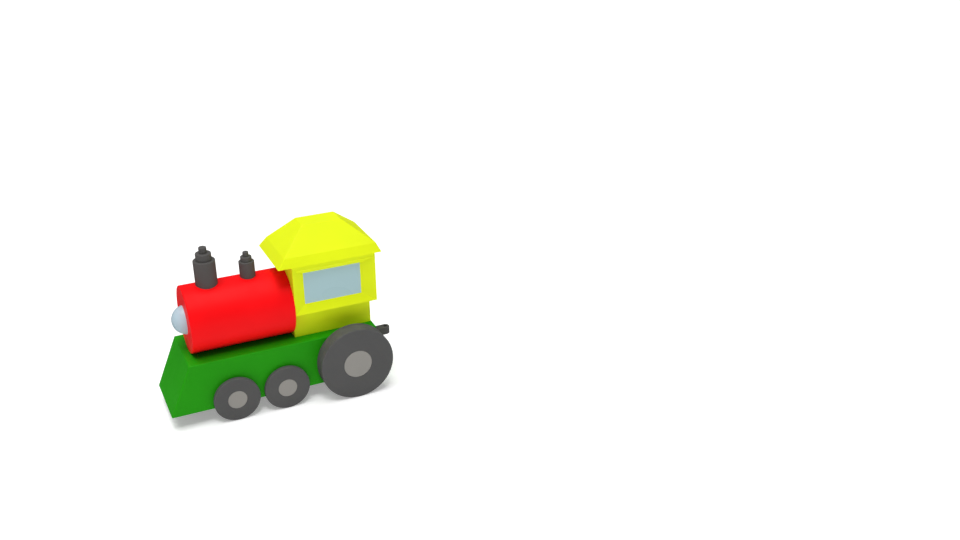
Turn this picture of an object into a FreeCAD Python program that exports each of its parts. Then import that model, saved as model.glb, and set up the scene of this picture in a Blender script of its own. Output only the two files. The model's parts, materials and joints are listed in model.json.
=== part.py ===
import FreeCAD, Part
import os
import re

import Sketcher

# Toy train locomotive.
# Frame: +X forward (towards the nose), +Y to the locomotive's left, +Z up, millimetres.
# Origin: on the ground, below the centre of the whole length and width.

DIMENSIONS = {
    # chassis: a tub that is open below, with a nose that leans back as it rises
    "nose_foot": 91.3,
    "nose_top": 74.6,
    "chassis_back": -70.7,
    "chassis_half_width": 27.2,
    "chassis_base": 12.4,
    "chassis_roof": 51.4,
    "wall": 2.4,
    "edge_round": 0.9,
    "cut_margin": 1.0,
    # wheels and axles
    "front_axle_place": 43.1,
    "middle_axle_place": 4.5,
    "rear_axle_place": -49.7,
    "axle_radius": 2.0,
    "axle_chamfer": 0.3,
    "bearing_clearance": 0.06,
    "bearing_depth": 7.0,
    "bearing_half_length": 5.0,
    "small_wheel_radius": 17.5,
    "small_wheel_inner": 27.5,
    "small_wheel_outer": 31.3,
    "small_hub_radius": 7.3,
    "big_wheel_radius": 29.2,
    "big_wheel_inner": 27.7,
    "big_wheel_outer": 40.2,
    "big_hub_radius": 11.3,
    "hub_thickness": 1.3,
    "hub_chamfer": 0.25,
    "wheel_web": 5.6,
    "wheel_rim": 4.0,
    "wheel_boss_radius": 6.0,
    "wheel_round": 0.7,
    # boiler
    "boiler_axis_height": 76.5,
    "boiler_radius": 25.8,
    "boiler_front": 69.4,
    "boiler_wall": 2.2,
    "keel_height": 1.5,
    "lamp_radius": 11.0,
    "lamp_reach": 9.2,
    "lamp_wall": 1.8,
    "lamp_spigot_radius": 9.0,
    "lamp_spigot_depth": 5.0,
    # cab
    "cab_front": -8.0,
    "cab_back": -73.2,
    "cab_half_width": 24.8,
    "cab_floor": 72.8,
    "cab_wall_top": 113.5,
    "cab_panel": 2.8,
    "cab_foot_back": -69.8,
    "cab_foot_half_width": 16.9,
    "pane_front": -17.0,
    "pane_back": -61.8,
    "pane_low": 80.0,
    "pane_high": 105.3,
    "pane_face": 21.4,
    "pane_thickness": 2.0,
    "pane_overlap": 1.2,
    "bevel_margin": 0.6,
    "bevel_high": 109.4,
    "pane_frame": 1.2,
    # roof
    "eaves_front": 2.7,
    "eaves_back": -78.0,
    "eaves_half_width": 27.3,
    "brow_front": -3.0,
    "brow_back": -74.7,
    "brow_half_width": 24.6,
    "brow_height": 120.5,
    "crown_front": -22.7,
    "crown_back": -52.9,
    "crown_half_width": 8.8,
    "crown_height": 138.4,
    "roof_lip_depth": 4.0,
    "roof_lip_thickness": 1.6,
    "lip_clearance": 0.1,
    # chimney and steam dome: three steps each, on a peg through the boiler
    "chimney_place": 50.0,
    "chimney_radius": 8.1,
    "chimney_shoulder": 121.1,
    "chimney_neck_radius": 5.8,
    "chimney_neck_top": 126.7,
    "chimney_tip_radius": 2.9,
    "chimney_tip_top": 131.3,
    "dome_place": 19.3,
    "dome_radius": 5.8,
    "dome_shoulder": 114.5,
    "dome_neck_radius": 4.2,
    "dome_neck_top": 118.2,
    "dome_tip_radius": 2.2,
    "dome_tip_top": 121.8,
    "peg_radius": 3.0,
    "peg_low": 93.0,
    "step_round": 0.5,
    # drawbar and its pivot
    "pivot_place": -62.0,
    "pivot_eye_radius": 5.0,
    "drawbar_end": -91.3,
    "drawbar_half_width": 3.4,
    "drawbar_low": 28.8,
    "drawbar_high": 35.2,
    "pin_radius": 2.0,
    "pin_low": 17.0,
    "pin_high": 46.0,
    "pin_boss_radius": 5.2,
    "eye_radius": 1.6,
    "slot_half_width": 8.0,
    "slot_gap": 0.7,
    "drawbar_gap": 0.35,
    # screws
    "screw_head_radius": 2.7,
    "screw_head_height": 1.4,
    "screw_shank_radius": 1.4,
    "screw_length": 11.0,
    "screw_point_length": 1.5,
    "screw_drive_radius": 1.2,
    "screw_drive_depth": 0.9,
    "screw_boss_radius": 3.5,
    "cab_boss_radius": 3.1,
    "screw_hole_radius": 1.6,
    "boss_height": 14.0,
}

BASE_SCREW_PLACES = [(64.0, 15.0), (64.0, -15.0), (23.8, 0.0), (-63.0, 19.5), (-63.0, -19.5)]
BOILER_SCREW_PLACES = [(58.0, 0.0), (12.0, 0.0)]
CAB_SCREW_PLACES = [(-13.0, 11.0), (-13.0, -11.0), (-58.0, 12.3), (-58.0, -12.3)]

# distances below this, in millimetres, count as none
NEAR = 0.01

document = FreeCAD.newDocument("locomotive")
sheet = document.addObject("Spreadsheet::Sheet", "Sizes")
for row, (alias, value) in enumerate(DIMENSIONS.items(), start=1):
    sheet.set("A%d" % row, alias)
    sheet.set("B%d" % row, str(value))
    sheet.setAlias("B%d" % row, alias)
document.recompute()

subparts = []


# ---------------------------------------------------------------- helpers

def formula(text):
    """Return the expression with each dimension's name pointed at the sheet."""
    def point_at_sheet(match):
        word = match.group(0)
        return "Sizes." + word if word in DIMENSIONS else word
    return re.sub(r"[a-z_]+", point_at_sheet, str(text))


def value_of(text):
    return float(sheet.evalExpression(formula(text)))


def new_body(label):
    body = document.addObject("PartDesign::Body", label)
    body.Label = label
    return body


def keep(item):
    """Register a finished sub-part."""
    subparts.append(item)
    return item


def origin_plane(body, role):
    for feature in body.Origin.OriginFeatures:
        if feature.Role == role:
            return feature
    raise ValueError(role)


def new_sketch(body, role, offset="0"):
    """Add a sketch on one of the body's own origin planes, moved along its normal."""
    sketch = body.newObject("Sketcher::SketchObject", "sketch")
    sketch.AttachmentSupport = (origin_plane(body, role), "")
    sketch.MapMode = "FlatFace"
    sketch.setExpression("AttachmentOffset.Base.z", formula(offset))
    return sketch


def pin_down(sketch, kind, element, point, text):
    """Fix one coordinate of a point, or a radius, to a formula."""
    if kind == "Radius":
        index = sketch.addConstraint(Sketcher.Constraint(kind, element, value_of(text)))
    else:
        index = sketch.addConstraint(Sketcher.Constraint(kind, -1, 1, element, point, value_of(text)))
    sketch.setExpression("Constraints[%d]" % index, formula(text))


def add_polygon(sketch, corners):
    """Draw a closed outline whose corners are pairs of formulas."""
    points = [FreeCAD.Vector(value_of(across), value_of(up), 0) for across, up in corners]
    first = sketch.GeometryCount
    count = len(points)
    for number in range(count):
        sketch.addGeometry(Part.LineSegment(points[number], points[(number + 1) % count]))
    for number in range(count):
        following = first + (number + 1) % count
        sketch.addConstraint(Sketcher.Constraint("Coincident", first + number, 2, following, 1))
    for number, (across, up) in enumerate(corners):
        pin_down(sketch, "DistanceX", first + number, 1, across)
        pin_down(sketch, "DistanceY", first + number, 1, up)


def add_rectangle(sketch, low_across, high_across, low_up, high_up):
    add_polygon(sketch, [(low_across, low_up), (high_across, low_up),
                         (high_across, high_up), (low_across, high_up)])


def add_circle(sketch, across, up, radius):
    centre = FreeCAD.Vector(value_of(across), value_of(up), 0)
    index = sketch.addGeometry(Part.Circle(centre, FreeCAD.Vector(0, 0, 1), value_of(radius)))
    pin_down(sketch, "DistanceX", index, 3, across)
    pin_down(sketch, "DistanceY", index, 3, up)
    pin_down(sketch, "Radius", index, 0, radius)


def pad(body, sketch, length, reverse=False, both_ways=False):
    feature = body.newObject("PartDesign::Pad", "pad")
    feature.Profile = sketch
    feature.setExpression("Length", formula(length))
    feature.Reversed = reverse
    feature.Midplane = both_ways
    document.recompute()
    return feature


def pocket(body, sketch, length, reverse=False, both_ways=False):
    """Cut a pocket, and stop if it removed nothing."""
    before = body.Tip.Shape.Volume
    feature = body.newObject("PartDesign::Pocket", "pocket")
    feature.Profile = sketch
    feature.setExpression("Length", formula(length))
    feature.Reversed = reverse
    feature.Midplane = both_ways
    document.recompute()
    if feature.Shape.Volume > before - NEAR:
        raise ValueError("pocket in %s cuts nothing" % body.Label)
    return feature


def revolve(body, sketch, axis="V_Axis"):
    feature = body.newObject("PartDesign::Revolution", "revolution")
    feature.Profile = sketch
    feature.ReferenceAxis = (sketch, [axis])
    feature.Angle = 360
    document.recompute()
    return feature


def loft(body, sketches, kind="PartDesign::AdditiveLoft"):
    feature = body.newObject(kind, "loft")
    feature.Profile = sketches[0]
    feature.Sections = sketches[1:]
    feature.Ruled = True
    document.recompute()
    return feature


def round_edges(body, radius, wanted):
    """Round the edges of the body's last feature that a test picks out."""
    base = body.Tip
    names = []
    for number, edge in enumerate(base.Shape.Edges, start=1):
        if wanted(edge):
            names.append("Edge%d" % number)
    feature = body.newObject("PartDesign::Fillet", "fillet")
    feature.Base = (base, names)
    feature.setExpression("Radius", formula(radius))
    document.recompute()
    return feature


def place(item, across="0", along="0", height="0", half_turn=False):
    """Put a sub-part in the locomotive's frame."""
    item.setExpression("Placement.Base.x", formula(across))
    item.setExpression("Placement.Base.y", formula(along))
    item.setExpression("Placement.Base.z", formula(height))
    if half_turn:
        item.setExpression("Placement.Rotation.Angle", "180")


def is_straight(edge):
    return isinstance(edge.Curve, (Part.Line, Part.LineSegment))


def round_block(kind, radius, length, across, height):
    """Ball, or cylinder along X, whose start lies on the centre plane."""
    block = document.addObject(kind, "block")
    block.setExpression("Radius", formula(radius))
    if length is not None:
        block.setExpression("Height", formula(length))
        block.Placement.Rotation = FreeCAD.Rotation(FreeCAD.Vector(0, 1, 0), 90)
    block.setExpression("Placement.Base.x", formula(across))
    block.setExpression("Placement.Base.z", formula(height))
    return block


def combine(kind, shapes):
    result = document.addObject(kind, "combined")
    result.Shapes = shapes
    return result


# ---------------------------------------------------------------- chassis

def make_chassis_shell():
    """Tub with side walls, a sloping nose, axle bearings, screw bosses and a drawbar slot."""
    body = new_body("chassis_shell")
    outline = new_sketch(body, "XZ_Plane")
    add_polygon(outline, [("chassis_back", "chassis_base"), ("nose_foot", "chassis_base"),
                          ("nose_top", "chassis_roof"), ("chassis_back", "chassis_roof")])
    pad(body, outline, "2 * chassis_half_width", both_ways=True)
    base = value_of("chassis_base")
    round_edges(body, "edge_round", lambda edge: edge.BoundBox.ZMax > base + NEAR)

    hollow = new_sketch(body, "XZ_Plane")
    lean = "(nose_foot - nose_top) / (chassis_roof - chassis_base)"
    nose_wall = "wall * sqrt(1 + (%s) ^ 2)" % lean
    inner_foot = "nose_foot - %s + (%s) * cut_margin" % (nose_wall, lean)
    inner_top = "nose_top - %s + (%s) * wall" % (nose_wall, lean)
    inner_back = "chassis_back + wall"
    add_polygon(hollow, [(inner_back, "chassis_base - cut_margin"), (inner_foot, "chassis_base - cut_margin"),
                         (inner_top, "chassis_roof - wall"), (inner_back, "chassis_roof - wall")])
    pocket(body, hollow, "2 * (chassis_half_width - wall)", both_ways=True)

    # blocks inside the walls that carry the axles
    for axle, radius in (("front", "small"), ("middle", "small"), ("rear", "big")):
        middle = "%s_axle_place" % axle
        height = "%s_wheel_radius" % radius
        for side in (1, -1):
            blocks = new_sketch(body, "XZ_Plane", "%d * (chassis_half_width - wall / 2)" % -side)
            if radius == "small":
                low = "chassis_base + wall"
            else:
                low = "%s - bearing_half_length" % height
            add_rectangle(blocks, "%s - bearing_half_length" % middle,
                          "%s + bearing_half_length" % middle,
                          low, "%s + bearing_half_length" % height)
            pad(body, blocks, "bearing_depth + wall / 2", reverse=(side < 0))

    # bosses that hang from the roof for the base plate's screws and for the drawbar pin
    bosses = new_sketch(body, "XY_Plane", "chassis_base + wall")
    for across, along in BASE_SCREW_PLACES:
        add_circle(bosses, across, along, "screw_boss_radius")
    pad(body, bosses, "chassis_roof - chassis_base - 2 * wall + wall / 2")
    pin_boss = new_sketch(body, "XY_Plane", "drawbar_high + drawbar_gap")
    add_circle(pin_boss, "pivot_place", "0", "pin_boss_radius")
    pad(body, pin_boss, "chassis_roof - wall / 2 - drawbar_high - drawbar_gap")

    # round bearings for the axles
    for axle, radius in (("front", "small"), ("middle", "small"), ("rear", "big")):
        bearings = new_sketch(body, "XZ_Plane")
        add_circle(bearings, "%s_axle_place" % axle, "%s_wheel_radius" % radius,
                   "axle_radius + bearing_clearance")
        pocket(body, bearings, "4 * chassis_half_width", both_ways=True)

    # pilot holes, clearance holes through the roof, and the drawbar pin's seat
    pilots = new_sketch(body, "XY_Plane", "chassis_base + wall")
    for across, along in BASE_SCREW_PLACES:
        add_circle(pilots, across, along, "screw_shank_radius")
    pocket(body, pilots, "screw_length", reverse=True)
    passages = new_sketch(body, "XY_Plane", "chassis_roof")
    for across, along in BOILER_SCREW_PLACES + CAB_SCREW_PLACES:
        add_circle(passages, across, along, "screw_hole_radius")
    pocket(body, passages, "wall + cut_margin")
    seat = new_sketch(body, "XY_Plane", "drawbar_high")
    add_circle(seat, "pivot_place", "0", "pin_radius")
    pocket(body, seat, "pin_high - drawbar_high", reverse=True)

    # slot in the back wall that the drawbar swings in
    slot = new_sketch(body, "YZ_Plane", "chassis_back - cut_margin")
    add_rectangle(slot, "-slot_half_width", "slot_half_width",
                  "drawbar_low - slot_gap", "drawbar_high + slot_gap")
    pocket(body, slot, "wall + 2 * cut_margin", reverse=True)
    return keep(body)


def make_chassis_base_plate():
    """Plate that closes the tub below, with the lower seat of the drawbar pin."""
    body = new_body("chassis_base_plate")
    outline = new_sketch(body, "XZ_Plane")
    lean = "(nose_foot - nose_top) / (chassis_roof - chassis_base)"
    nose_wall = "wall * sqrt(1 + (%s) ^ 2)" % lean
    back = "chassis_back + wall + lip_clearance"
    front = "nose_foot - %s - lip_clearance" % nose_wall
    add_polygon(outline, [(back, "chassis_base"), (front, "chassis_base"),
                          ("%s - (%s) * wall" % (front, lean), "chassis_base + wall"),
                          (back, "chassis_base + wall")])
    pad(body, outline, "2 * (chassis_half_width - wall - lip_clearance)", both_ways=True)
    boss = new_sketch(body, "XY_Plane", "chassis_base")
    add_circle(boss, "pivot_place", "0", "pin_boss_radius")
    pad(body, boss, "drawbar_low - drawbar_gap - chassis_base")
    seat = new_sketch(body, "XY_Plane", "drawbar_low")
    add_circle(seat, "pivot_place", "0", "pin_radius")
    pocket(body, seat, "drawbar_low - pin_low")
    holes = new_sketch(body, "XY_Plane", "chassis_base + wall")
    for across, along in BASE_SCREW_PLACES:
        add_circle(holes, across, along, "screw_hole_radius")
    pocket(body, holes, "wall + cut_margin")
    recesses = new_sketch(body, "XY_Plane", "chassis_base")
    for across, along in BASE_SCREW_PLACES:
        add_circle(recesses, across, along, "screw_head_radius + lip_clearance")
    pocket(body, recesses, "screw_head_height", reverse=True)
    return keep(body)


# ---------------------------------------------------------------- screws

def make_screw(across, along, under_head):
    """Self-tapping screw that points up, with its head's upper side at a height."""
    body = new_body("screw")
    profile = new_sketch(body, "XZ_Plane")
    add_polygon(profile, [("0", "screw_length"), ("screw_shank_radius / 2", "screw_length"),
                          ("screw_shank_radius", "screw_length - screw_point_length"),
                          ("screw_shank_radius", "0"),
                          ("screw_head_radius", "0"), ("screw_head_radius", "-screw_head_height / 2"),
                          ("screw_head_radius - screw_head_height / 2", "-screw_head_height"),
                          ("0", "-screw_head_height")])
    revolve(body, profile)
    drive = new_sketch(body, "XY_Plane", "-screw_head_height")
    arm = "screw_drive_radius / 4"
    reach = "screw_drive_radius"
    add_polygon(drive, [("-%s" % reach, "-%s" % arm), ("-%s" % arm, "-%s" % arm),
                        ("-%s" % arm, "-%s" % reach), (arm, "-%s" % reach),
                        (arm, "-%s" % arm), (reach, "-%s" % arm),
                        (reach, arm), (arm, arm), (arm, reach), ("-%s" % arm, reach),
                        ("-%s" % arm, arm), ("-%s" % reach, arm)])
    pocket(body, drive, "screw_drive_depth", reverse=True)
    place(body, across, along, under_head)
    return body


def make_screw_group(label, places, under_head):
    group = document.addObject("Part::Compound", label)
    group.Label = label
    group.Links = [make_screw(across, along, under_head) for across, along in places]
    return keep(group)


# ---------------------------------------------------------------- boiler and its fittings

def make_boiler_shell():
    """Closed-front tube that lies on the chassis, flat where it rests, with two screw bosses."""
    body = new_body("boiler_shell")
    tube = new_sketch(body, "YZ_Plane", "cab_front")
    add_circle(tube, "0", "boiler_axis_height", "boiler_radius")
    pad(body, tube, "boiler_front - cab_front")

    front = value_of("boiler_front")
    round_edges(body, "edge_round", lambda edge: edge.BoundBox.XMin > front - NEAR)

    hollow = new_sketch(body, "YZ_Plane", "cab_front")
    add_circle(hollow, "0", "boiler_axis_height", "boiler_radius - boiler_wall")
    pocket(body, hollow, "boiler_front - cab_front - boiler_wall", reverse=True)

    keel = new_sketch(body, "YZ_Plane", "cab_front + boiler_wall")
    bottom = "boiler_axis_height - boiler_radius"
    add_rectangle(keel, "-screw_boss_radius", "screw_boss_radius",
                  "%s + boiler_wall / 2" % bottom, "%s + boiler_wall + keel_height" % bottom)
    pad(body, keel, "boiler_front - cab_front - 2 * boiler_wall")
    bosses = new_sketch(body, "XY_Plane", "chassis_roof")
    for across, along in BOILER_SCREW_PLACES:
        add_circle(bosses, across, along, "screw_boss_radius")
    pad(body, bosses, "boss_height")

    flat = new_sketch(body, "YZ_Plane", "cab_front - cut_margin")
    add_rectangle(flat, "-boiler_radius", "boiler_radius", "%s - cut_margin" % bottom, "chassis_roof")
    pocket(body, flat, "boiler_front - cab_front + 2 * cut_margin", reverse=True)
    pilots = new_sketch(body, "XY_Plane", "chassis_roof")
    for across, along in BOILER_SCREW_PLACES:
        add_circle(pilots, across, along, "screw_shank_radius")
    pocket(body, pilots, "screw_length", reverse=True)

    lamp_hole = new_sketch(body, "YZ_Plane", "boiler_front + cut_margin")
    add_circle(lamp_hole, "0", "boiler_axis_height", "lamp_spigot_radius")
    pocket(body, lamp_hole, "boiler_wall + 2 * cut_margin")
    peg_holes = new_sketch(body, "XY_Plane", "boiler_axis_height + boiler_radius + cut_margin")
    add_circle(peg_holes, "chimney_place", "0", "peg_radius")
    add_circle(peg_holes, "dome_place", "0", "peg_radius")
    pocket(body, peg_holes, "boiler_wall + 2 * cut_margin")
    return keep(body)


def make_boiler_back_plate():
    """Disc pressed into the boiler's open end."""
    plate = round_block("Part::Cylinder", "boiler_radius - boiler_wall", "boiler_wall",
                        "cab_front", "boiler_axis_height")
    plate.Label = "boiler_back_plate"
    return keep(plate)


def make_headlamp_lens():
    """Hollow domed lens with a spigot behind it, on the boiler's axis."""
    sphere = "(lamp_radius ^ 2 + lamp_reach ^ 2) / (2 * lamp_reach)"
    centre = "boiler_front + lamp_reach - %s" % sphere
    ball = round_block("Part::Sphere", sphere, None, centre, "boiler_axis_height")
    collar = round_block("Part::Cylinder", "lamp_radius + cut_margin", "lamp_reach + cut_margin",
                         "boiler_front", "boiler_axis_height")
    dome = combine("Part::MultiCommon", [ball, collar])
    spigot = round_block("Part::Cylinder", "lamp_spigot_radius", "lamp_spigot_depth + lamp_wall / 2",
                         "boiler_front - lamp_spigot_depth", "boiler_axis_height")
    solid = combine("Part::MultiFuse", [dome, spigot])
    inner_ball = round_block("Part::Sphere", "%s - lamp_wall" % sphere, None, centre, "boiler_axis_height")
    bore = round_block("Part::Cylinder", "lamp_spigot_radius - lamp_wall", "lamp_spigot_depth + lamp_reach",
                       "boiler_front - lamp_spigot_depth - cut_margin", "boiler_axis_height")
    hollow = combine("Part::MultiCommon", [inner_ball, bore])
    lens = document.addObject("Part::Cut", "headlamp_lens")
    lens.Label = "headlamp_lens"
    lens.Base = solid
    lens.Tool = hollow
    document.recompute()
    return keep(lens)


def make_stack(label, name):
    """Three-step turned stack whose foot follows the boiler, on a peg through its wall."""
    body = new_body(label)
    profile = new_sketch(body, "XZ_Plane")
    radius = "%s_radius" % name
    neck = "%s_neck_radius" % name
    tip = "%s_tip_radius" % name
    shoulder = "%s_shoulder" % name
    neck_top = "%s_neck_top" % name
    tip_top = "%s_tip_top" % name
    add_polygon(profile, [("0", "boiler_axis_height"), (radius, "boiler_axis_height"),
                          (radius, shoulder), (neck, shoulder), (neck, neck_top),
                          (tip, neck_top), (tip, tip_top), ("0", tip_top)])
    revolve(body, profile)
    brims = [(value_of(height), value_of(wide))
             for height, wide in ((shoulder, radius), (neck_top, neck), (tip_top, tip))]

    def is_brim(edge):
        """The outer edge of a step, not the inner corner above it."""
        if is_straight(edge):
            return False
        return any(abs(edge.BoundBox.ZMax - level) < NEAR and abs(edge.Curve.Radius - widest) < NEAR
                   for level, widest in brims)
    round_edges(body, "step_round", is_brim)

    saddle = new_sketch(body, "YZ_Plane")
    add_circle(saddle, "0", "boiler_axis_height", "boiler_radius")
    pocket(body, saddle, "4 * %s" % radius, both_ways=True)
    peg = new_sketch(body, "XY_Plane", "peg_low")
    add_circle(peg, "0", "0", "peg_radius")
    pad(body, peg, "%s - peg_low - cut_margin" % shoulder)
    place(body, "%s_place" % name)
    return keep(body)


# ---------------------------------------------------------------- cab

def make_cab_body():
    """Narrow foot and wide upper part in one moulding, open at both sides and on top."""
    body = new_body("cab_body")
    foot = new_sketch(body, "XY_Plane", "chassis_roof")
    add_rectangle(foot, "cab_foot_back", "cab_front", "-cab_foot_half_width", "cab_foot_half_width")
    pad(body, foot, "cab_floor - chassis_roof + wall / 2")
    side = "cab_half_width - cab_panel"
    upper = new_sketch(body, "XY_Plane", "cab_floor")
    add_rectangle(upper, "cab_back", "cab_front", "-(%s)" % side, side)
    pad(body, upper, "cab_wall_top - cab_floor")

    room = new_sketch(body, "XY_Plane", "cab_wall_top")
    add_rectangle(room, "cab_back + wall", "cab_front - wall", "-cab_half_width", "cab_half_width")
    pocket(body, room, "cab_wall_top - cab_floor - wall")
    well = new_sketch(body, "XY_Plane", "cab_wall_top")
    add_rectangle(well, "cab_foot_back + wall", "cab_front - wall",
                  "-cab_foot_half_width + wall", "cab_foot_half_width - wall")
    pocket(body, well, "cab_wall_top - chassis_roof - wall")

    bosses = new_sketch(body, "XY_Plane", "chassis_roof")
    for across, along in CAB_SCREW_PLACES:
        add_circle(bosses, across, along, "cab_boss_radius")
    pad(body, bosses, "boss_height")
    pilots = new_sketch(body, "XY_Plane", "chassis_roof")
    for across, along in CAB_SCREW_PLACES:
        add_circle(pilots, across, along, "screw_shank_radius")
    pocket(body, pilots, "screw_length", reverse=True)
    return keep(body)


def make_cab_side_left():
    """Side panel of the cab with a bevelled window surround and a seat for the pane."""
    body = new_body("cab_side_left")
    panel = new_sketch(body, "XZ_Plane", "-cab_half_width")
    add_rectangle(panel, "cab_back", "cab_front", "cab_floor", "cab_wall_top")
    pad(body, panel, "cab_panel")
    housing = new_sketch(body, "XZ_Plane", "-cab_half_width")
    border = "(pane_overlap + pane_frame)"
    add_rectangle(housing, "pane_back - %s" % border, "pane_front + %s" % border,
                  "pane_low - %s" % border, "pane_high + %s" % border)
    pad(body, housing, "cab_half_width - pane_face + pane_thickness")

    outer = new_sketch(body, "XZ_Plane", "-cab_half_width")
    add_rectangle(outer, "cab_back + bevel_margin", "cab_front - bevel_margin",
                  "cab_floor + bevel_margin", "bevel_high")
    inner = new_sketch(body, "XZ_Plane", "-pane_face")
    add_rectangle(inner, "pane_back", "pane_front", "pane_low", "pane_high")
    loft(body, [outer, inner], "PartDesign::SubtractiveLoft")
    light = new_sketch(body, "XZ_Plane", "-pane_face - pane_thickness / 2")
    add_rectangle(light, "pane_back", "pane_front", "pane_low", "pane_high")
    pocket(body, light, "2 * pane_thickness", reverse=True)
    seat = new_sketch(body, "XZ_Plane", "-pane_face + pane_thickness + cut_margin")
    add_rectangle(seat, "pane_back - pane_overlap", "pane_front + pane_overlap",
                  "pane_low - pane_overlap", "pane_high + pane_overlap")
    pocket(body, seat, "pane_thickness + cut_margin")
    return keep(body)


def make_mirrored(label, source):
    """The same piece for the other side of the locomotive."""
    copy = document.addObject("Part::Mirroring", label)
    copy.Label = label
    copy.Source = source
    copy.Base = FreeCAD.Vector(0, 0, 0)
    copy.Normal = FreeCAD.Vector(0, 1, 0)
    document.recompute()
    return keep(copy)


def make_window_pane(label, side):
    """Clear pane that sits in the seat behind a side panel's opening."""
    pane = document.addObject("Part::Box", label)
    pane.Label = label
    pane.setExpression("Length", formula("pane_front - pane_back + 2 * pane_overlap"))
    pane.setExpression("Width", formula("pane_thickness"))
    pane.setExpression("Height", formula("pane_high - pane_low + 2 * pane_overlap"))
    if side > 0:
        near_face = "pane_face - pane_thickness"
    else:
        near_face = "-pane_face"
    place(pane, "pane_back - pane_overlap", near_face, "pane_low - pane_overlap")
    return keep(pane)


def make_cab_roof():
    """Hipped roof in two slopes, hollow below, with a lip that drops inside the cab's walls."""
    body = new_body("cab_roof")

    def ring(height, back, front, half_width):
        sketch = new_sketch(body, "XY_Plane", height)
        add_rectangle(sketch, back, front, "-(%s)" % half_width, half_width)
        return sketch
    loft(body, [ring("cab_wall_top", "eaves_back", "eaves_front", "eaves_half_width"),
                ring("brow_height", "brow_back", "brow_front", "brow_half_width")])
    loft(body, [ring("brow_height", "brow_back", "brow_front", "brow_half_width"),
                ring("crown_height", "crown_back", "crown_front", "crown_half_width")])
    low = value_of("cab_wall_top")
    round_edges(body, "edge_round", lambda edge: edge.BoundBox.ZMax > low + NEAR)

    def lip_ring(height, inset):
        """Outline inside the cab's walls, a distance in from them."""
        return ring(height, "cab_back + wall + %s" % inset, "cab_front - wall - %s" % inset,
                    "cab_half_width - cab_panel - %s" % inset)
    lip_foot = "cab_wall_top - roof_lip_depth"
    lip_face = "(lip_clearance + roof_lip_thickness)"
    pad(body, lip_ring(lip_foot, "lip_clearance"), "roof_lip_depth + cut_margin")
    pocket(body, lip_ring(lip_foot, lip_face), "roof_lip_depth + cut_margin", reverse=True)
    loft(body, [lip_ring("cab_wall_top + cut_margin", lip_face),
                ring("crown_height - wall", "crown_back + wall", "crown_front - wall",
                     "crown_half_width - wall / 2")], "PartDesign::SubtractiveLoft")
    return keep(body)


# ---------------------------------------------------------------- wheelsets

def make_axle(label, place_name, radius_name, outer_name):
    """Steel rod whose ends finish at the floor of the hub recesses."""
    body = new_body(label)
    profile = new_sketch(body, "XY_Plane")
    half = "(%s - hub_thickness)" % outer_name
    end = "axle_radius - axle_chamfer"
    add_polygon(profile, [("0", "-%s" % half), (end, "-%s" % half),
                          ("axle_radius", "-%s + axle_chamfer" % half),
                          ("axle_radius", "%s - axle_chamfer" % half), (end, half), ("0", half)])
    revolve(body, profile)
    place(body, place_name, "0", radius_name)
    return keep(body)


def make_wheel(label, size, place_name, half_turn):
    """Moulded wheel drawn on the left side, turned about Y, with its flat face outwards."""
    body = new_body(label)
    profile = new_sketch(body, "XY_Plane")
    radius = "%s_wheel_radius" % size
    inner = "%s_wheel_inner" % size
    outer = "%s_wheel_outer" % size
    hub = "%s_hub_radius" % size
    web = "%s - wheel_web" % outer
    corners = [("axle_radius", "%s - hub_thickness" % outer), (hub, "%s - hub_thickness" % outer),
               (hub, outer), (radius, outer), (radius, inner)]
    if size == "big":
        # the big wheel is hollow behind its face
        corners += [("%s - wheel_rim" % radius, inner), ("%s - wheel_rim" % radius, web),
                    ("wheel_boss_radius", web), ("wheel_boss_radius", inner)]
    corners += [("axle_radius", inner)]
    add_polygon(profile, corners)
    revolve(body, profile)
    wide = value_of(radius)
    round_edges(body, "wheel_round",
                lambda edge: not is_straight(edge) and abs(edge.Curve.Radius - wide) < NEAR)
    place(body, place_name, "0", radius, half_turn=half_turn)
    return keep(body)


def make_hub_cap(label, size, place_name, half_turn):
    """Disc that fills the wheel's recess and hides the end of the axle."""
    body = new_body(label)
    profile = new_sketch(body, "XY_Plane")
    outer = "%s_wheel_outer" % size
    hub = "%s_hub_radius" % size
    add_polygon(profile, [("0", "%s - hub_thickness" % outer), (hub, "%s - hub_thickness" % outer),
                          (hub, "%s - hub_chamfer" % outer), ("%s - hub_chamfer" % hub, outer),
                          ("0", outer)])
    revolve(body, profile)
    place(body, place_name, "0", "%s_wheel_radius" % size, half_turn=half_turn)
    return keep(body)


def make_wheelset(axle, size):
    place_name = "%s_axle_place" % axle
    make_axle("%s_axle" % axle, place_name, "%s_wheel_radius" % size, "%s_wheel_outer" % size)
    for side, half_turn in (("left", False), ("right", True)):
        make_wheel("%s_wheel_%s" % (axle, side), size, place_name, half_turn)
        make_hub_cap("%s_hub_cap_%s" % (axle, side), size, place_name, half_turn)


# ---------------------------------------------------------------- drawbar

def make_drawbar():
    """Square bar with a round pivot eye in the chassis and a round coupling eye behind."""
    body = new_body("drawbar")
    bar = new_sketch(body, "XY_Plane", "drawbar_low")
    add_rectangle(bar, "drawbar_end + drawbar_half_width", "pivot_place",
                  "-drawbar_half_width", "drawbar_half_width")
    pad(body, bar, "drawbar_high - drawbar_low")
    ends = new_sketch(body, "XY_Plane", "drawbar_low")
    add_circle(ends, "pivot_place", "0", "pivot_eye_radius")
    add_circle(ends, "drawbar_end + drawbar_half_width", "0", "drawbar_half_width")
    pad(body, ends, "drawbar_high - drawbar_low")
    round_edges(body, "step_round", is_drawbar_rim)
    holes = new_sketch(body, "XY_Plane", "drawbar_high")
    add_circle(holes, "pivot_place", "0", "pin_radius + bearing_clearance")
    add_circle(holes, "drawbar_end + drawbar_half_width", "0", "eye_radius")
    pocket(body, holes, "drawbar_high - drawbar_low + cut_margin")
    return keep(body)


def is_drawbar_rim(edge):
    """Tell whether an edge runs round the top or the bottom of the drawbar."""
    return edge.BoundBox.ZLength < NEAR


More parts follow.
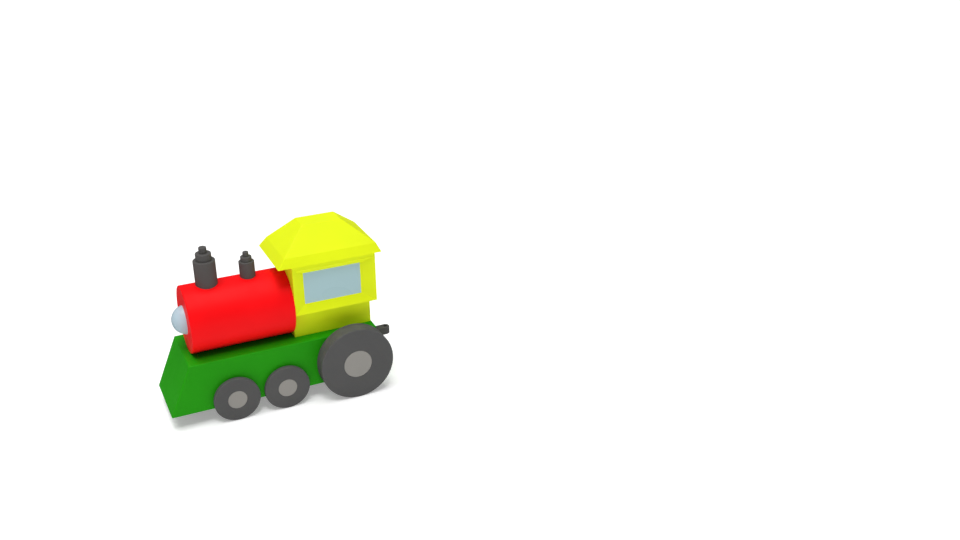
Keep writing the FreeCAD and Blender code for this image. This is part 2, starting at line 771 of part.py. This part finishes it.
def make_drawbar_pin():
    """Steel pin held in the base plate below and in the chassis above."""
    pin = document.addObject("Part::Cylinder", "drawbar_pin")
    pin.Label = "drawbar_pin"
    pin.setExpression("Radius", formula("pin_radius"))
    pin.setExpression("Height", formula("pin_high - pin_low"))
    place(pin, "pivot_place", "0", "pin_low")
    return keep(pin)


# ---------------------------------------------------------------- the whole locomotive

def check_document():
    """Stop if anything failed to build."""
    document.recompute()
    for item in document.Objects:
        if "Invalid" in item.State or "Error" in item.State:
            raise ValueError("%s (%s) did not build" % (item.Name, item.Label))
    for item in subparts:
        if item.Shape.isNull() or not item.Shape.isValid():
            raise ValueError("%s has no valid shape" % item.Label)
        if not item.Shape.Solids:
            raise ValueError("%s has no solid" % item.Label)


def main():
    make_chassis_shell()
    make_chassis_base_plate()
    make_screw_group("base_screws", BASE_SCREW_PLACES, "chassis_base + screw_head_height")
    make_screw_group("boiler_screws", BOILER_SCREW_PLACES, "chassis_roof - wall")
    make_screw_group("cab_screws", CAB_SCREW_PLACES, "chassis_roof - wall")
    make_boiler_shell()
    make_boiler_back_plate()
    make_headlamp_lens()
    make_stack("chimney", "chimney")
    make_stack("steam_dome", "dome")
    make_cab_body()
    make_mirrored("cab_side_right", make_cab_side_left())
    make_window_pane("window_pane_left", 1)
    make_window_pane("window_pane_right", -1)
    make_cab_roof()
    make_wheelset("front", "small")
    make_wheelset("middle", "small")
    make_wheelset("rear", "big")
    make_drawbar()
    make_drawbar_pin()
    check_document()
    os.makedirs("parts", exist_ok=True)
    for item in subparts:
        item.Shape.exportStep(os.path.join("parts", item.Label + ".step"))
        box = item.Shape.BoundBox
        print("%-20s %2d solid(s) %9.1f mm3  x %.1f..%.1f  y %.1f..%.1f  z %.1f..%.1f" % (
            item.Label, len(item.Shape.Solids), item.Shape.Volume,
            box.XMin, box.XMax, box.YMin, box.YMax, box.ZMin, box.ZMax))


main()
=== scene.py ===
import json
import math

import bpy
from mathutils import Matrix, Vector


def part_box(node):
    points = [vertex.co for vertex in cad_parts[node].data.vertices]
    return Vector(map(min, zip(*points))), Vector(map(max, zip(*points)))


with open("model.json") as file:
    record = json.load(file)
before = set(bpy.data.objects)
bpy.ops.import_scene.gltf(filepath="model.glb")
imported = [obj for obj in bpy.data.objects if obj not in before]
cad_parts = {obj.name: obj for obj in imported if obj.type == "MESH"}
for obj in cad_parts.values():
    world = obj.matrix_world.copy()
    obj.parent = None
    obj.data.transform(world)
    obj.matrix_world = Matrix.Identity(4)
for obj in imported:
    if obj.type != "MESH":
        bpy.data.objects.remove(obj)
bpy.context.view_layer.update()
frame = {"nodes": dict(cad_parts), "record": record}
nodes = frame["nodes"]

# Lengths are in metres, and noise scales in lumps per metre.

# ---------------------------------------------------------------- camera, lights and floor

CAMERA_PLACE = Vector((0.1675, 0.6970, 0.4167))
CAMERA_FORWARD = Vector((-0.4020, -0.8187, -0.4100))
CAMERA_ROLL = 0.0036
CAMERA_LENS_MM = 37.967
SENSOR_WIDTH_MM = 36.0

# Each sun's name, strength, direction that its light comes from, and width in the sky in degrees.
SUNS = (
    ("overhead", 2.1, (0.12, 0.0, 1.0), 45),
    ("sky", 0.6, (0.0, 0.1, 1.0), 160),
    ("key", 0.7, (0.08, 0.42, 0.9), 12),
)
ROOM_LIGHT = 0.10
ROOM_LIGHT_IN_GLOSS = 0.05

FLOOR_HALF = 20.0
FLOOR_WHITE = 0.9
FLOOR_ROUGHNESS = 0.9
FLOOR_GLOW = 0.28


def make_camera():
    """The photograph's viewpoint: high on the locomotive's left, ahead of the cab."""
    forward = CAMERA_FORWARD.normalized()
    level = forward.cross(Vector((0, 0, 1))).normalized()
    down = forward.cross(level)
    right = level * math.cos(CAMERA_ROLL) + down * math.sin(CAMERA_ROLL)
    up = level * math.sin(CAMERA_ROLL) - down * math.cos(CAMERA_ROLL)
    turn = Matrix((right, up, -forward)).transposed()
    data = bpy.data.cameras.new("camera")
    data.lens = CAMERA_LENS_MM
    data.sensor_width = SENSOR_WIDTH_MM
    camera = bpy.data.objects.new("camera", data)
    camera.matrix_world = Matrix.Translation(CAMERA_PLACE) @ turn.to_4x4()
    bpy.context.scene.collection.objects.link(camera)
    bpy.context.scene.camera = camera


def make_suns():
    """Soft parallel light, most of it from overhead and some from the camera's side."""
    for name, strength, towards, width_deg in SUNS:
        data = bpy.data.lights.new(name, "SUN")
        data.energy = strength
        data.angle = math.radians(width_deg)
        sun = bpy.data.objects.new(name, data)
        sun.rotation_mode = "QUATERNION"
        sun.rotation_quaternion = Vector(towards).to_track_quat("Z", "Y")
        bpy.context.scene.collection.objects.link(sun)


def make_room():
    """A room that looks white but lights the toy only a little."""
    world = bpy.data.worlds.new("studio")
    world.use_nodes = True
    tree = world.node_tree
    background = tree.nodes["Background"]
    background.inputs["Color"].default_value = (1, 1, 1, 1)
    rays = tree.nodes.new("ShaderNodeLightPath")
    lighting = tree.nodes.new("ShaderNodeMapRange")
    lighting.inputs["To Min"].default_value = ROOM_LIGHT
    lighting.inputs["To Max"].default_value = ROOM_LIGHT_IN_GLOSS
    tree.links.new(rays.outputs["Is Glossy Ray"], lighting.inputs["Value"])
    seen = tree.nodes.new("ShaderNodeMath")
    seen.operation = "MAXIMUM"
    tree.links.new(rays.outputs["Is Camera Ray"], seen.inputs[0])
    tree.links.new(lighting.outputs["Result"], seen.inputs[1])
    tree.links.new(seen.outputs["Value"], background.inputs["Strength"])
    bpy.context.scene.world = world
    bpy.context.scene.view_settings.view_transform = "Standard"


def make_floor():
    """Pale floor that glows a little, in place of the light that a bright room adds."""
    mesh = bpy.data.meshes.new("floor")
    corners = [(-FLOOR_HALF, -FLOOR_HALF, 0), (FLOOR_HALF, -FLOOR_HALF, 0),
               (FLOOR_HALF, FLOOR_HALF, 0), (-FLOOR_HALF, FLOOR_HALF, 0)]
    mesh.from_pydata(corners, [], [(0, 1, 2, 3)])
    floor = bpy.data.objects.new("floor", mesh)
    bpy.context.scene.collection.objects.link(floor)
    material = bpy.data.materials.new("floor_paint")
    material.use_nodes = True
    shader = material.node_tree.nodes["Principled BSDF"]
    shader.inputs["Base Color"].default_value = (FLOOR_WHITE, FLOOR_WHITE, FLOOR_WHITE, 1)
    shader.inputs["Roughness"].default_value = FLOOR_ROUGHNESS
    shader.inputs["Emission Color"].default_value = (1, 1, 1, 1)
    shader.inputs["Emission Strength"].default_value = FLOOR_GLOW
    mesh.materials.append(material)
    floor.visible_glossy = False


# ---------------------------------------------------------------- materials

# The stretch of a noise's values that most of it lies in.
NOISE_LOW = 0.35
NOISE_HIGH = 0.65
SMEAR_HIGH = 0.7

COLOUR_DRIFT = 0.03
CLOUDY_DRIFT = 0.01

PLASTIC_IOR = 1.5
PLASTIC_SHINE = 0.09
GRAIN_SCALE = 2600.0
GRAIN_HEIGHT = 0.00003
WAVE_SCALE = 90.0
WAVE_HEIGHT = 0.00004
SMEAR_GLOSSIER = 0.06
SMEAR_DULLER = 0.08
RUBBED_DULLER = 0.14

WORN_EDGE = 0.0007
WEAR_SHARE = 0.45
SCUFF_SHARE = 0.35
SCUFF_PALER = 1.18
SCUFF_ALONG = 70.0
SCUFF_ACROSS = 1500.0

RING_STEP = 0.0011
RING_HEIGHT = 0.000012
WHEEL_GRAIN_SCALE = 2200.0
WHEEL_GRAIN_HEIGHT = 0.00005
WHEEL_GLOSSY = 0.52
WHEEL_DULL = 0.68
TREAD_STARTS = 0.0008
TREAD_FULL = 0.0002
TREAD_RUB = 0.3
TREAD_PALER = 1.5


class Recipe:
    """Small helper that adds shader nodes and joins them."""

    def __init__(self, name):
        self.material = bpy.data.materials.new(name)
        self.material.use_nodes = True
        self.tree = self.material.node_tree
        self.shader = self.tree.nodes["Principled BSDF"]
        self.place = self.add("ShaderNodeTexCoord").outputs["Object"]

    def add(self, kind, **settings):
        node = self.tree.nodes.new(kind)
        for name, value in settings.items():
            setattr(node, name, value)
        return node

    def put(self, socket, value):
        """Give a socket a constant, or join another socket to it."""
        if isinstance(value, bpy.types.NodeSocket):
            self.tree.links.new(value, socket)
        else:
            socket.default_value = value

    def surface(self, name, value):
        """Set or join one of the material's own inputs."""
        self.put(self.shader.inputs[name], value)

    def noise(self, scale, detail=3.0, roughness=0.55, distortion=0.0):
        node = self.add("ShaderNodeTexNoise")
        self.put(node.inputs["Vector"], self.place)
        self.put(node.inputs["Scale"], scale)
        self.put(node.inputs["Detail"], detail)
        self.put(node.inputs["Roughness"], roughness)
        self.put(node.inputs["Distortion"], distortion)
        return node.outputs["Fac"]

    def span(self, value, low, high, to_low=0.0, to_high=1.0):
        """Carry a value from one range to another, held at the ends."""
        node = self.add("ShaderNodeMapRange")
        for name, number in (("Value", value), ("From Min", low), ("From Max", high),
                             ("To Min", to_low), ("To Max", to_high)):
            self.put(node.inputs[name], number)
        return node.outputs["Result"]

    def calc(self, operation, first, second=0.0):
        node = self.add("ShaderNodeMath", operation=operation)
        self.put(node.inputs[0], first)
        self.put(node.inputs[1], second)
        return node.outputs[0]

    def mix(self, share, first, second):
        node = self.add("ShaderNodeMix", data_type="RGBA")
        self.put(node.inputs["Factor"], share)
        self.put(node.inputs["A"], first)
        self.put(node.inputs["B"], second)
        return node.outputs["Result"]

    def drifting(self, share, base, depth):
        """A colour that wanders between slightly darker and slightly paler."""
        return self.mix(share, shade(base, 1 - depth), shade(base, 1 + depth))

    def edge_wear(self, radius):
        """Share of wear: up to 1 on sharp edges, broken up by noise, and 0 on flat faces."""
        bevel = self.add("ShaderNodeBevel", samples=6)
        self.put(bevel.inputs["Radius"], radius)
        plain = self.add("ShaderNodeNewGeometry").outputs["Normal"]
        turn = self.add("ShaderNodeVectorMath", operation="DOT_PRODUCT")
        self.put(turn.inputs[0], bevel.outputs["Normal"])
        self.put(turn.inputs[1], plain)
        bend = self.calc("SUBTRACT", 1.0, turn.outputs["Value"])
        patchy = self.span(self.noise(210.0, 4.0, 0.6), 0.42, 0.62)
        return self.calc("MULTIPLY", self.span(bend, 0.006, 0.05), patchy)

    def streaks_along(self):
        """Noise drawn out along the toy."""
        stretch = self.add("ShaderNodeMapping")
        self.put(stretch.inputs["Vector"], self.place)
        self.put(stretch.inputs["Scale"], (SCUFF_ALONG, SCUFF_ACROSS, SCUFF_ACROSS))
        streaks = self.add("ShaderNodeTexNoise")
        self.put(streaks.inputs["Vector"], stretch.outputs["Vector"])
        self.put(streaks.inputs["Scale"], 1.0)
        self.put(streaks.inputs["Detail"], 3.0)
        return streaks.outputs["Fac"]

    def scuffs(self):
        """Share of fine rub marks along the toy, which gather in a few patches."""
        streaks = self.span(self.streaks_along(), 0.60, 0.70)
        patches = self.span(self.noise(34.0, 2.0), 0.50, 0.62)
        return self.calc("MULTIPLY", streaks, patches)

    def distance_from_axle(self, axle_x, axle_z):
        """Distance from a line across the toy."""
        apart = self.add("ShaderNodeSeparateXYZ")
        self.put(apart.inputs[0], self.place)
        along = self.calc("SUBTRACT", apart.outputs["X"], axle_x)
        above = self.calc("SUBTRACT", apart.outputs["Z"], axle_z)
        along_squared = self.calc("MULTIPLY", along, along)
        above_squared = self.calc("MULTIPLY", above, above)
        return self.calc("SQRT", self.calc("ADD", along_squared, above_squared))

    def bump(self, height, distance, below=None):
        """Surface relief, on top of another one where there is one."""
        node = self.add("ShaderNodeBump")
        self.put(node.inputs["Height"], height)
        self.put(node.inputs["Distance"], distance)
        self.put(node.inputs["Strength"], 1.0)
        if below is not None:
            self.put(node.inputs["Normal"], below)
        return node.outputs["Normal"]


def colour(red, green, blue):
    return (red, green, blue, 1.0)


def shade(base, factor):
    return tuple(min(1.0, channel * factor) for channel in base[:3]) + (1.0,)


def make_plastic(name, base, roughness, worn=1.25):
    """Moulded plastic: slow colour drift, moulding grain, uneven gloss, scuffs and worn edges."""
    recipe = Recipe(name)
    drift = recipe.span(recipe.noise(26.0, 2.0), NOISE_LOW, NOISE_HIGH)
    scuffs = recipe.scuffs()
    wear = recipe.edge_wear(WORN_EDGE)
    body = recipe.drifting(drift, base, COLOUR_DRIFT)
    body = recipe.mix(recipe.calc("MULTIPLY", scuffs, SCUFF_SHARE), body, shade(base, SCUFF_PALER))
    body = recipe.mix(recipe.calc("MULTIPLY", wear, WEAR_SHARE), body, shade(base, worn))
    recipe.surface("Base Color", body)

    smear = recipe.span(recipe.noise(38.0, 4.0, 0.6, 0.6), NOISE_LOW, SMEAR_HIGH,
                        roughness - SMEAR_GLOSSIER, roughness + SMEAR_DULLER)
    rubbed = recipe.calc("MULTIPLY", recipe.calc("MAXIMUM", wear, scuffs), RUBBED_DULLER)
    recipe.surface("Roughness", recipe.calc("ADD", smear, rubbed))

    waves = recipe.bump(recipe.noise(WAVE_SCALE, 2.0, 0.4), WAVE_HEIGHT)
    grain = recipe.bump(recipe.noise(GRAIN_SCALE, 2.0, 0.5), GRAIN_HEIGHT, below=waves)
    recipe.surface("Normal", grain)
    recipe.surface("IOR", PLASTIC_IOR)
    recipe.surface("Specular IOR Level", PLASTIC_SHINE)
    return recipe.material


def make_wheel_plastic(name, base, wheel):
    """Matt wheel plastic with faint turned rings round the axle, and a tread rubbed by the floor."""
    low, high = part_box(wheel)
    radius = (high[2] - low[2]) / 2
    recipe = Recipe(name)
    reach = recipe.distance_from_axle((low[0] + high[0]) / 2, (low[2] + high[2]) / 2)
    drift = recipe.span(recipe.noise(30.0, 3.0), NOISE_LOW, NOISE_HIGH)
    body = recipe.drifting(drift, base, COLOUR_DRIFT)
    tread = recipe.span(reach, radius - TREAD_STARTS, radius - TREAD_FULL)
    rub = recipe.span(recipe.noise(160.0, 5.0, 0.65), 0.42, 0.66, 0.0, TREAD_RUB)
    body = recipe.mix(recipe.calc("MULTIPLY", tread, rub), body, shade(base, TREAD_PALER))
    recipe.surface("Base Color", body)
    smear = recipe.span(recipe.noise(45.0, 4.0, 0.6, 0.4), NOISE_LOW, SMEAR_HIGH, WHEEL_GLOSSY, WHEEL_DULL)
    recipe.surface("Roughness", smear)

    turns = recipe.calc("SINE", recipe.calc("MULTIPLY", reach, 2 * math.pi / RING_STEP))
    rings = recipe.bump(turns, RING_HEIGHT)
    grain = recipe.bump(recipe.noise(WHEEL_GRAIN_SCALE, 2.0), WHEEL_GRAIN_HEIGHT, below=rings)
    recipe.surface("Normal", grain)
    recipe.surface("Specular IOR Level", PLASTIC_SHINE)
    return recipe.material


def make_steel(name):
    """Zinc-plated steel with a fine, even mottle."""
    recipe = Recipe(name)
    fine = recipe.noise(900.0, 3.0)
    recipe.surface("Base Color", recipe.mix(fine, colour(0.5, 0.5, 0.52), colour(0.66, 0.66, 0.68)))
    recipe.surface("Metallic", 1.0)
    recipe.surface("Roughness", recipe.span(fine, 0.3, 0.7, 0.28, 0.45))
    recipe.surface("Normal", recipe.bump(fine, 0.00002))
    return recipe.material


def make_cloudy(name, base, roughness):
    """Tinted plastic too cloudy to see through, with a thin glossy skin."""
    recipe = Recipe(name)
    recipe.surface("Base Color", recipe.drifting(recipe.noise(22.0, 0.0), base, CLOUDY_DRIFT))
    recipe.surface("Roughness", recipe.span(recipe.noise(30.0, 0.0), 0.0, 1.0, roughness, roughness + 0.06))
    recipe.surface("IOR", 1.49)
    recipe.surface("Specular IOR Level", 0.3)
    recipe.surface("Coat Weight", 0.15)
    recipe.surface("Coat Roughness", 0.12)
    recipe.surface("Normal", recipe.bump(recipe.noise(14.0, 1.0), 0.00001))
    return recipe.material


def make_materials():
    """Materials by the record's slot names, apart from the wheels' slot."""
    return {
        "green_plastic": make_plastic("green_plastic", colour(0.0175, 0.326, 0.003), 0.45),
        "red_plastic": make_plastic("red_plastic", colour(0.98, 0.0035, 0.0065), 0.45),
        "yellow_plastic": make_plastic("yellow_plastic", colour(0.80, 0.92, 0.0115), 0.45),
        "dark_plastic": make_plastic("dark_plastic", colour(0.097, 0.093, 0.09), 0.55, worn=1.6),
        "hub_plastic": make_plastic("hub_plastic", colour(0.30, 0.29, 0.27), 0.5),
        "lamp_clear": make_cloudy("lamp_clear", colour(0.47, 0.61, 0.69), 0.25),
        "window_clear": make_cloudy("window_clear", colour(0.42, 0.61, 0.66), 0.25),
        "steel": make_steel("steel"),
    }


def make_wheel_materials():
    """A material for each axle's wheels, because its rings are centred on the axle."""
    grey = colour(0.097, 0.097, 0.097)
    return {axle: make_wheel_plastic("wheel_plastic_%s" % axle, grey, "%s_wheel_left" % axle)
            for axle in ("front", "middle", "rear")}


def dress_nodes():
    """Give every CAD node the material of its slot, and each wheel its axle's own."""
    materials = make_materials()
    wheel_materials = make_wheel_materials()
    for part in frame["record"]["subparts"]:
        name, slot = part["node"], part["material_slot"]
        if slot == "wheel_plastic":
            material = wheel_materials[name.split("_")[0]]
        else:
            material = materials[slot]
        node = nodes[name]
        node.data.materials.clear()
        node.data.materials.append(material)


make_camera()
make_suns()
make_room()
make_floor()
dress_nodes()
